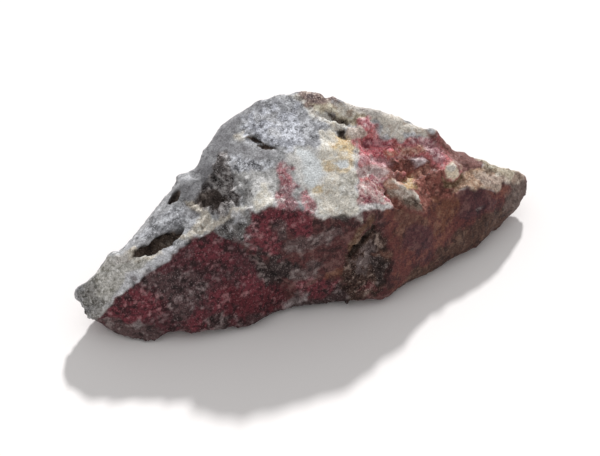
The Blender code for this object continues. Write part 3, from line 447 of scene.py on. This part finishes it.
# Streaks and fibres are noise drawn out along one way.
Lines = namedtuple("Lines", "times size seed")
STREAK_RIDGES = Lines(6.0, 0.7, 51)
FIBRE_RIDGES = Lines(7.0, 0.55, 55)
STREAK_GRAINS = Lines(7.0, 0.9, 61)
FIBRE_GRAINS = Lines(8.0, 0.55, 65)
LEFT_STREAK = (0.96, -0.2, 0.2)  # the way the streaks of the left and middle walls run
RIGHT_STREAK = (0.81, 0.46, 0.36)  # the way the streaks of the right wall run
RIGHT_WALL = (6.0, 10.0)  # how far along the stone one way gives place to the other
FIBRES = (0.65, -0.67, -0.37)  # the way the fibres of the bench and the dome run

BUMP_SIZES = (1.2, 0.5)
FINE_BUMP = 0.8  # height of the finer bumps beside the others
CHIPS = ((2.2, 0.16, 0.07, 21), (0.9, 0.2, 0.045, 23))  # each kind's size, lean, step and seed
STREAK_HEIGHT = 0.035
FIBRE_HEIGHT = 0.06

GRAIN_STREAKS = 1.1  # how strongly the grains follow the streaks and fibres
CLUSTER_SIZE = 2.6
CLUSTER_STRENGTH = 0.5
SPECKS = ((0.8, 0.6, 3), (0.45, 0.55, 4))  # each kind's size, strength and step of the seed
GRAIN_START = 0.38  # noise level where grains begin in a rock that has no share of them
GRAIN_EDGE = 0.4  # from there to where they are whole
# The material adds grains too fine for the mesh.
FINE_GRAIN = 0.2
COARSE_GRAIN = 0.4
SEED_SHIFT = (0.31, 0.17, 0.53)  # how far each step of the seed moves the noise, in metres
NOISE_ROUGHNESS = 0.6
SHARE_EFFECT = 0.3  # how far a rock's share of grains raises their noise level
DARK_LEVELS = (0.58, 0.76)  # noise levels where dark grains begin and where they are whole
LIGHT_LEVELS = (0.64, 0.76)
GRAIN_COVER = 0.7
FINE_LEVELS = (0.3, 0.7)  # noise levels between which the finest grain turns from dull to bright
FINE_BRIGHTNESS = (0.75, 1.25)
GLOSS_LEVELS = (0.35, 0.65)  # noise levels between which the gloss turns from rough to smooth
GLOSS_CHANGE = (0.25, -0.15)
SPECULAR = 0.12  # how much the rock shines
GRAIN_BUMP = 0.1  # height of the bumps of the finest grain
GRAIN_BUMP_SHARE = 0.6  # of the fine and of the coarse grain in them
GRAIN_BUMP_STRENGTH = 0.7

TABLE_HALF = 1.5  # metres
TABLE_COLOUR = (0.95, 0.92, 0.91, 1.0)
TABLE_ROUGHNESS = 0.9
CAMERA_CLIP = (0.01, 10.0)  # metres
SKY_COLOUR = (1.0, 1.0, 1.0, 1.0)


def direction(azimuth, elevation):
    """Unit vector towards a place round the stone; azimuth 0 is in front of it and 90 to its right."""
    a, e = math.radians(azimuth), math.radians(elevation)
    return np.array([math.sin(a) * math.cos(e), -math.cos(a) * math.cos(e), math.sin(e)])


TO_CAMERA = direction(CAMERA_AZIMUTH, CAMERA_ELEVATION)
CAMERA_RIGHT = np.array([math.cos(math.radians(CAMERA_AZIMUTH)), math.sin(math.radians(CAMERA_AZIMUTH)), 0.0])
CAMERA_UP = np.cross(TO_CAMERA, CAMERA_RIGHT)
CAMERA_PLACE = np.array(CAMERA_TARGET) + CAMERA_DISTANCE * TO_CAMERA
PIXELS_PER_SLOPE = PHOTO_WIDTH * CAMERA_LENS / SENSOR_WIDTH


def photo_pixels(points):
    """Where points fall in the photograph's frame, as rows of (x from the left, y from the top)."""
    offset = points - CAMERA_PLACE
    depth = -offset @ TO_CAMERA
    across = offset @ CAMERA_RIGHT / depth * PIXELS_PER_SLOPE
    upward = offset @ CAMERA_UP / depth * PIXELS_PER_SLOPE
    return np.column_stack([PHOTO_WIDTH / 2 + across, PHOTO_HEIGHT / 2 - upward])


NOISE_SLOPES = 256  # slopes that the noise picks from; a power of two
NOISE_GAIN = 1.6  # brings the noise to about -1 to 1


def smooth_noise(points, size, seed):
    """Noise from about -1 to 1 in lumps of one size."""
    rng = np.random.default_rng(seed)
    order = rng.permutation(NOISE_SLOPES)
    order = np.concatenate([order, order])
    slopes = rng.normal(size=(NOISE_SLOPES, 3))
    slopes /= np.linalg.norm(slopes, axis=1, keepdims=True)
    scaled = points / size
    cell = np.floor(scaled).astype(int)
    part = scaled - cell
    ease = part ** 3 * (part * (part * 6 - 15) + 10)
    total = np.zeros(len(points))
    for corner in np.ndindex(2, 2, 2):
        at = (cell + corner) & (NOISE_SLOPES - 1)
        pick = order[order[order[at[:, 0]] + at[:, 1]] + at[:, 2]]
        value = np.einsum("ij,ij->i", slopes[pick], part - corner)
        total += value * np.prod(np.where(corner, ease, 1 - ease), axis=1)
    return NOISE_GAIN * total


def layered_noise(points, size, seed, layers=3):
    """Noise with finer noise on it, each layer half the size and strength of the last."""
    total = np.zeros(len(points))
    for layer in range(layers):
        total += smooth_noise(points, size / 2 ** layer, seed + layer) / 2 ** layer
    return total / (2 - 2 ** (1 - layers))


def ramp(value, low, high):
    """0 below low, 1 above high, and a smooth rise between."""
    share = np.clip((value - low) / (high - low), 0.0, 1.0)
    return share * share * (3 - 2 * share)


def chips(points, size, lean, step, seed):
    """Height of small flat chips about one size across, each tilted and offset from its neighbours."""
    rng = np.random.default_rng(seed)
    low, high = points.min(axis=0) - size, points.max(axis=0) + size
    count = int(np.prod((high - low) / size))
    middles = rng.uniform(low, high, (count, 3))
    slopes = rng.normal(0.0, lean, (count, 3))
    offsets = rng.uniform(-step, step, count)
    tree = kdtree.KDTree(count)
    for i, middle in enumerate(middles):
        tree.insert(middle, i)
    tree.balance()
    nearest = np.array([tree.find(point)[1] for point in points])
    return offsets[nearest] + np.einsum("ij,ij->i", slopes[nearest], points - middles[nearest])


def lines_along(points, along, lines):
    """Noise drawn out into lines that run one way."""
    along = np.array(along) / np.linalg.norm(along)
    drawn = points - (1 - 1 / lines.times) * (points @ along)[:, None] * along
    return layered_noise(drawn, lines.size, lines.seed, layers=2)


def wall_lines(points, lines):
    """Noise in lines along the walls, which run one way on the left and another on the right."""
    left = lines_along(points, LEFT_STREAK, lines)
    right = lines_along(points, RIGHT_STREAK, lines)
    return left + ramp(points[:, 0], *RIGHT_WALL) * (right - left)


def depth_inside(pixels, outline):
    """How far inside an outline each pixel place is (+), or outside it (-), in pixels."""
    gap = np.full(len(pixels), np.inf)
    inside = np.zeros(len(pixels), bool)
    corners = np.array(outline, float)
    for start, end in zip(corners, np.roll(corners, -1, axis=0)):
        side = end - start
        share = np.clip((pixels - start) @ side / (side @ side), 0.0, 1.0)
        gap = np.minimum(gap, np.linalg.norm(pixels - start - share[:, None] * side, axis=1))
        level = (pixels[:, 1] < start[1]) != (pixels[:, 1] < end[1])
        if side[1] != 0:
            crossing = start[0] + (pixels[:, 1] - start[1]) * side[0] / side[1]
            inside ^= level & (pixels[:, 0] < crossing)
    return np.where(inside, gap, -gap)


def mesh_points(mesh):
    """The mesh's vertices in millimetres."""
    points = np.empty(len(mesh.vertices) * 3)
    mesh.vertices.foreach_get("co", points)
    return points.reshape(-1, 3) / MM


def mesh_normals(mesh):
    """The normal at each of the mesh's vertices."""
    normals = np.empty(len(mesh.vertices) * 3)
    mesh.vertices.foreach_get("normal", normals)
    return normals.reshape(-1, 3)


def set_points(mesh, points):
    """Move the mesh's vertices to points in millimetres."""
    mesh.vertices.foreach_set("co", (points * MM).ravel())
    mesh.update()


def new_object(name, data):
    """A new object in the scene."""
    thing = bpy.data.objects.new(name, data)
    bpy.context.scene.collection.objects.link(thing)
    return thing


def skin_object(solid):
    """A finer, smoother copy of the solid, as a new object."""
    shape = bmesh.new()
    shape.from_mesh(solid.data)
    bmesh.ops.remove_doubles(shape, verts=shape.verts, dist=WELD * MM)
    mesh = bpy.data.meshes.new("welded")
    shape.to_mesh(mesh)
    shape.free()
    stone = new_object("cinnabar_stone_skin", mesh)
    skin = stone.modifiers.new("skin", "REMESH")
    skin.mode = "VOXEL"
    skin.voxel_size = SKIN * MM
    smoothing = stone.modifiers.new("smoothing", "SMOOTH")
    smoothing.iterations = SKIN_SMOOTHING
    bpy.context.view_layer.update()
    depsgraph = bpy.context.evaluated_depsgraph_get()
    mesh = bpy.data.meshes.new_from_object(stone.evaluated_get(depsgraph))
    stone.modifiers.clear()
    stone.data = mesh
    mesh.name = "cinnabar_stone_skin"
    return stone


def smoothed(points, mesh, strength):
    """The points drawn towards the middle of their neighbours, each by its own strength."""
    edges = np.empty(len(mesh.edges) * 2, int)
    mesh.edges.foreach_get("vertices", edges)
    ends = np.concatenate([edges[0::2], edges[1::2]])
    others = np.concatenate([edges[1::2], edges[0::2]])
    neighbours = np.bincount(ends)
    for _ in range(DOME_SMOOTHING):
        for axis in range(3):
            middle = np.bincount(ends, weights=points[others, axis]) / neighbours
            points[:, axis] += strength * (middle - points[:, axis])
    return points


def surface_tree(mesh):
    """A search tree of the mesh's faces, in millimetres."""
    points = mesh_points(mesh)
    faces = [tuple(polygon.vertices) for polygon in mesh.polygons]
    return BVHTree.FromPolygons([Vector(point) for point in points], faces)


def seen_from_camera(points, normals, tree):
    """Whether each point faces the photograph's camera with nothing in the way."""
    to_camera = CAMERA_PLACE - points
    to_camera /= np.linalg.norm(to_camera, axis=1, keepdims=True)
    seen = np.einsum("ij,ij->i", normals, to_camera) > FACING
    starts = points + RAY_LIFT[0] * normals + RAY_LIFT[1] * to_camera
    for i in np.nonzero(seen)[0]:
        seen[i] = tree.ray_cast(Vector(starts[i]), Vector(to_camera[i]))[0] is None
    return seen


# A point's mix holds three colours and then eight plain numbers.
BODY, DARK, LIGHT = slice(0, 3), slice(3, 6), slice(6, 9)
DARK_SHARE, LIGHT_SHARE, BUMP, CHIP, STREAK, GLOSS, FIBRE, RISE = range(9, 17)


def mix_of(rock):
    """A rock as one row of numbers, with its face level."""
    return np.concatenate([rock.body, rock.dark, rock.light, rock[3:], [0.0]])


def lay_over(mix, rock, cover):
    """Cover the mix with a rock, fully where the cover is 1."""
    mix += cover[:, None] * (mix_of(ROCKS[rock]) - mix)


def seen_mix(points):
    """The rock at each point as the photograph shows it, as rows of numbers."""
    large, small = WANDER_SIZES
    wander = np.column_stack([
        smooth_noise(points, large, seed) + FINE_WANDER * smooth_noise(points, small, seed + 1)
        for seed in WANDER_SEEDS
    ])
    pixels = photo_pixels(points)
    breaks = BREAKING * layered_noise(points, BREAKING_SIZE, seed=121)
    mix = np.tile(mix_of(ROCKS["grey"]), (len(points), 1))
    rise = np.zeros(len(points))
    for patch in PATCHES:
        places = pixels + WANDER * patch.edge * wander
        depth = depth_inside(places, patch.outline) / patch.edge
        rise += patch.rise * ramp(depth, -1.0, 1.0)
        lay_over(mix, patch.rock, patch.cover * ramp(depth + patch.broken * breaks, -1.0, 1.0))
    mix[:, RISE] = rise
    return mix


def swell_rise(points, normals):
    """How far the swells move each point, on both sides of the outline but not on the underside."""
    pixels = photo_pixels(points)
    rise = np.zeros(len(points))
    for swell in SWELLS:
        rise += swell.rise * ramp(depth_inside(pixels, swell.outline) / swell.edge, -1.0, 1.0)
    return rise * ramp(normals[:, 2], *UNDERSIDE)


def unseen_mix(points):
    """The rock at each point of the faces turned away: grey rock with ore towards the foot and the right."""
    mix = np.tile(mix_of(ROCKS["grey"]), (len(points), 1))
    along, height = points[:, 0], points[:, 2]
    layers = (
        ("smooth grey", 0.5 * smooth_noise(points, 6.0, seed=201) + 0.1),
        ("blue white", smooth_noise(points, 5.0, seed=205) - 0.2),
        ("grey quartz", smooth_noise(points, 3.0, seed=211) - 0.45),
        ("green grey", 0.7 * layered_noise(points, 3.0, seed=215) - 0.2),
        ("brown rust", 0.08 * (along - 12.0) + 0.5 * layered_noise(points, 4.0, seed=221)),
        ("wall", 0.12 * (5.0 - height) + 0.6 * layered_noise(points, 5.0, seed=225)),
        ("ore", 0.12 * (4.0 - height) + 0.7 * layered_noise(points, 4.0, seed=231) - 0.2),
        ("crimson", 0.9 * layered_noise(points, 3.0, seed=235) - 0.04 * height - 0.1),
        ("ochre", 0.8 * layered_noise(points, 2.5, seed=241) - 0.5),
    )
    for rock, strength in layers:
        lay_over(mix, rock, UNSEEN_COVER * ramp(strength, *UNSEEN_EDGE))
    mix[:, CHIP] = np.maximum(mix[:, CHIP], UNSEEN_CHIP)
    return mix


def rock_mix(points, normals, tree):
    """The rock at each point of the whole skin."""
    seen = seen_from_camera(points, normals, tree)
    mix = np.empty((len(points), RISE + 1))
    mix[seen] = seen_mix(points[seen])
    hidden = np.nonzero(~seen)[0]
    places = np.nonzero(seen)[0]
    lookup = kdtree.KDTree(len(places))
    for i in places:
        lookup.insert(points[i], i)
    lookup.balance()
    found = [lookup.find(points[i]) for i in hidden]
    near = np.array([place[1] for place in found])
    gap = np.array([place[2] for place in found])
    gap += SPREAD_WAVER * layered_noise(points[hidden], SPREAD_LUMPS, seed=131)
    share = ramp(gap, *SPREAD)[:, None]
    mix[hidden] = (1 - share) * mix[near] + share * unseen_mix(points[hidden])
    mix[:, RISE] += swell_rise(points, normals)
    return mix


def relief(points, mix):
    """How far the fine skin is pushed out (+) or in (-), in millimetres."""
    large, small = BUMP_SIZES
    bumps = layered_noise(points, large, seed=31, layers=2) + FINE_BUMP * smooth_noise(points, small, seed=41)
    height = mix[:, BUMP] * bumps
    height += mix[:, CHIP] * sum(chips(points, *kind) for kind in CHIPS)
    height += STREAK_HEIGHT * mix[:, STREAK] * wall_lines(points, STREAK_RIDGES)
    height += FIBRE_HEIGHT * mix[:, FIBRE] * lines_along(points, FIBRES, FIBRE_RIDGES)
    return height + mix[:, RISE]


def grow_grains(points, mix):
    """Turn the body colour dark or light in grains, clusters and streaks as fine as the skin can hold."""
    streaks = mix[:, STREAK] * wall_lines(points, STREAK_GRAINS)
    streaks += mix[:, FIBRE] * lines_along(points, FIBRES, FIBRE_GRAINS)
    for colour, share, way, seed in ((DARK, DARK_SHARE, -1, 71), (LIGHT, LIGHT_SHARE, 1, 81)):
        level = GRAIN_STREAKS * way * streaks
        level += CLUSTER_STRENGTH * layered_noise(points, CLUSTER_SIZE, seed, layers=2)
        level += sum(strength * smooth_noise(points, size, seed + step) for size, strength, step in SPECKS)
        start = GRAIN_START - mix[:, share]
        part = ramp(level, start, start + GRAIN_EDGE)
        mix[:, BODY] += part[:, None] * (mix[:, colour] - mix[:, BODY])


def store(mesh, mix):
    """Keep the mix on the mesh, where the material reads it."""
    for columns, name in ((BODY, "body"), (DARK, "dark"), (LIGHT, "light")):
        colours = np.ones((len(mix), 4))
        colours[:, :3] = np.clip(mix[:, columns], 0.0, 1.0)
        layer = mesh.attributes.new(name, "FLOAT_COLOR", "POINT")
        layer.data.foreach_set("color", colours.ravel())
    for column, name in ((DARK_SHARE, "dark_share"), (LIGHT_SHARE, "light_share"), (GLOSS, "gloss")):
        layer = mesh.attributes.new(name, "FLOAT", "POINT")
        layer.data.foreach_set("value", mix[:, column])


class Nodes:
    """A short way to add and join a material's nodes."""

    def __init__(self, material):
        self.tree = material.node_tree

    def add(self, kind, inputs=(), **settings):
        """A new node. Each input is a value, or another node's output to join."""
        node = self.tree.nodes.new(kind)
        for key, value in settings.items():
            setattr(node, key, value)
        for key, value in dict(inputs).items():
            if isinstance(value, bpy.types.NodeSocket):
                self.tree.links.new(value, node.inputs[key])
            else:
                node.inputs[key].default_value = value
        return node

    def attribute(self, name, output):
        """What the mesh keeps under a name."""
        return self.add("ShaderNodeAttribute", attribute_name=name).outputs[output]

    def noise(self, size, detail, seed):
        """Noise in lumps of one size in millimetres, in the stone's own space."""
        place = self.add("ShaderNodeTexCoord").outputs["Object"]
        shift = tuple(seed * step for step in SEED_SHIFT)
        moved = self.add("ShaderNodeVectorMath", {0: place, 1: shift}).outputs[0]
        inputs = {"Vector": moved, "Scale": 1 / (size * MM), "Detail": detail, "Roughness": NOISE_ROUGHNESS}
        return self.add("ShaderNodeTexNoise", inputs).outputs["Fac"]

    def maths(self, operation, first, second):
        """One operation on two values."""
        return self.add("ShaderNodeMath", {0: first, 1: second}, operation=operation).outputs[0]

    def ramp(self, value, low, high, start=0.0, end=1.0):
        """The value from low to high drawn out from start to end."""
        inputs = {"Value": value, "From Min": low, "From Max": high, "To Min": start, "To Max": end}
        return self.add("ShaderNodeMapRange", inputs, interpolation_type="SMOOTHSTEP").outputs[0]

    def blend(self, share, first, second):
        """Two colours mixed."""
        return self.add("ShaderNodeMix", {0: share, 6: first, 7: second}, data_type="RGBA").outputs[2]


def stone_material():
    """Rock in grains: dark and light grains over a body colour, all from the mesh, with fine bumps."""
    material = bpy.data.materials.new("cinnabar_ore")
    material.use_nodes = True
    nodes = Nodes(material)
    shader = material.node_tree.nodes["Principled BSDF"]
    shader.inputs["Specular IOR Level"].default_value = SPECULAR
    fine = nodes.noise(FINE_GRAIN, detail=2.0, seed=1)
    coarse = nodes.noise(COARSE_GRAIN, detail=3.0, seed=2)
    bright = nodes.noise(FINE_GRAIN, detail=2.0, seed=3)
    colour = nodes.attribute("body", "Color")
    for kind, noise, levels in (("dark", coarse, DARK_LEVELS), ("light", bright, LIGHT_LEVELS)):
        share = nodes.maths("MULTIPLY", nodes.attribute(kind + "_share", "Fac"), SHARE_EFFECT)
        part = nodes.ramp(nodes.maths("ADD", share, noise), *levels, end=GRAIN_COVER)
        colour = nodes.blend(part, colour, nodes.attribute(kind, "Color"))
    brightness = nodes.ramp(fine, *FINE_LEVELS, *FINE_BRIGHTNESS)
    varied = nodes.add("ShaderNodeVectorMath", {0: colour, "Scale": brightness}, operation="SCALE")
    nodes.tree.links.new(varied.outputs[0], shader.inputs["Base Color"])
    change = nodes.ramp(bright, *GLOSS_LEVELS, *GLOSS_CHANGE)
    gloss = nodes.maths("ADD", nodes.attribute("gloss", "Fac"), change)
    nodes.tree.links.new(gloss, shader.inputs["Roughness"])
    heights = [nodes.maths("MULTIPLY", noise, GRAIN_BUMP_SHARE) for noise in (fine, coarse)]
    height = nodes.maths("ADD", *heights)
    inputs = {"Height": height, "Distance": GRAIN_BUMP * MM, "Strength": GRAIN_BUMP_STRENGTH}
    bump = nodes.add("ShaderNodeBump", inputs)
    nodes.tree.links.new(bump.outputs[0], shader.inputs["Normal"])
    return material


def make_stone():
    """The stone's visible skin, coloured and in relief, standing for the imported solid."""
    stone = skin_object(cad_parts["cinnabar_stone"])
    mesh = stone.data
    points, normals = mesh_points(mesh), mesh_normals(mesh)
    mix = rock_mix(points, normals, surface_tree(mesh))
    set_points(mesh, smoothed(points.copy(), mesh, 1 - ramp(mix[:, CHIP], *LEAST_CHIPPED)))
    raised = mesh_points(mesh) + mesh_normals(mesh) * relief(points, mix)[:, None]
    raised[:, 2] = np.maximum(raised[:, 2], 0.0)
    set_points(mesh, raised)
    grow_grains(points, mix)
    store(mesh, mix)
    mesh.materials.clear()
    mesh.materials.append(stone_material())
    for polygon in mesh.polygons:
        polygon.use_smooth = True
    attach(stone, "root")
    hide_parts("cinnabar_stone")


def make_floor():
    """A plain pale table top."""
    corners = [(x * TABLE_HALF, y * TABLE_HALF, 0) for x, y in ((-1, -1), (1, -1), (1, 1), (-1, 1))]
    mesh = bpy.data.meshes.new("table_top")
    mesh.from_pydata(corners, [], [(0, 1, 2, 3)])
    table = new_object("table_top", mesh)
    material = bpy.data.materials.new("pale_table")
    material.use_nodes = True
    shader = material.node_tree.nodes["Principled BSDF"]
    shader.inputs["Base Color"].default_value = TABLE_COLOUR
    shader.inputs["Roughness"].default_value = TABLE_ROUGHNESS
    mesh.materials.append(material)


def make_lights():
    """A low key light from behind, and an even sky."""
    sun_data = bpy.data.lights.new("sun", "SUN")
    sun_data.energy = SUN_STRENGTH
    sun_data.angle = math.radians(SUN_SPREAD)
    sun = new_object("sun", sun_data)
    to_sun = direction(CAMERA_AZIMUTH + 180.0 - SUN_BEARING, SUN_ELEVATION)
    sun.rotation_mode = "QUATERNION"
    sun.rotation_quaternion = Vector(to_sun).to_track_quat("Z", "Y")
    world = bpy.data.worlds.new("studio")
    world.use_nodes = True
    background = world.node_tree.nodes["Background"]
    background.inputs["Color"].default_value = SKY_COLOUR
    background.inputs["Strength"].default_value = SKY_STRENGTH
    bpy.context.scene.world = world


def make_camera():
    """The photograph's camera."""
    camera_data = bpy.data.cameras.new("camera")
    camera_data.sensor_width = SENSOR_WIDTH
    camera_data.lens = CAMERA_LENS
    camera_data.clip_start, camera_data.clip_end = CAMERA_CLIP
    camera = new_object("camera", camera_data)
    camera.location = CAMERA_PLACE * MM
    camera.rotation_mode = "QUATERNION"
    camera.rotation_quaternion = Vector(TO_CAMERA).to_track_quat("Z", "Y")
    bpy.context.scene.camera = camera


make_stone()
make_floor()
make_lights()
make_camera()
bpy.context.scene.view_settings.view_transform = "Standard"
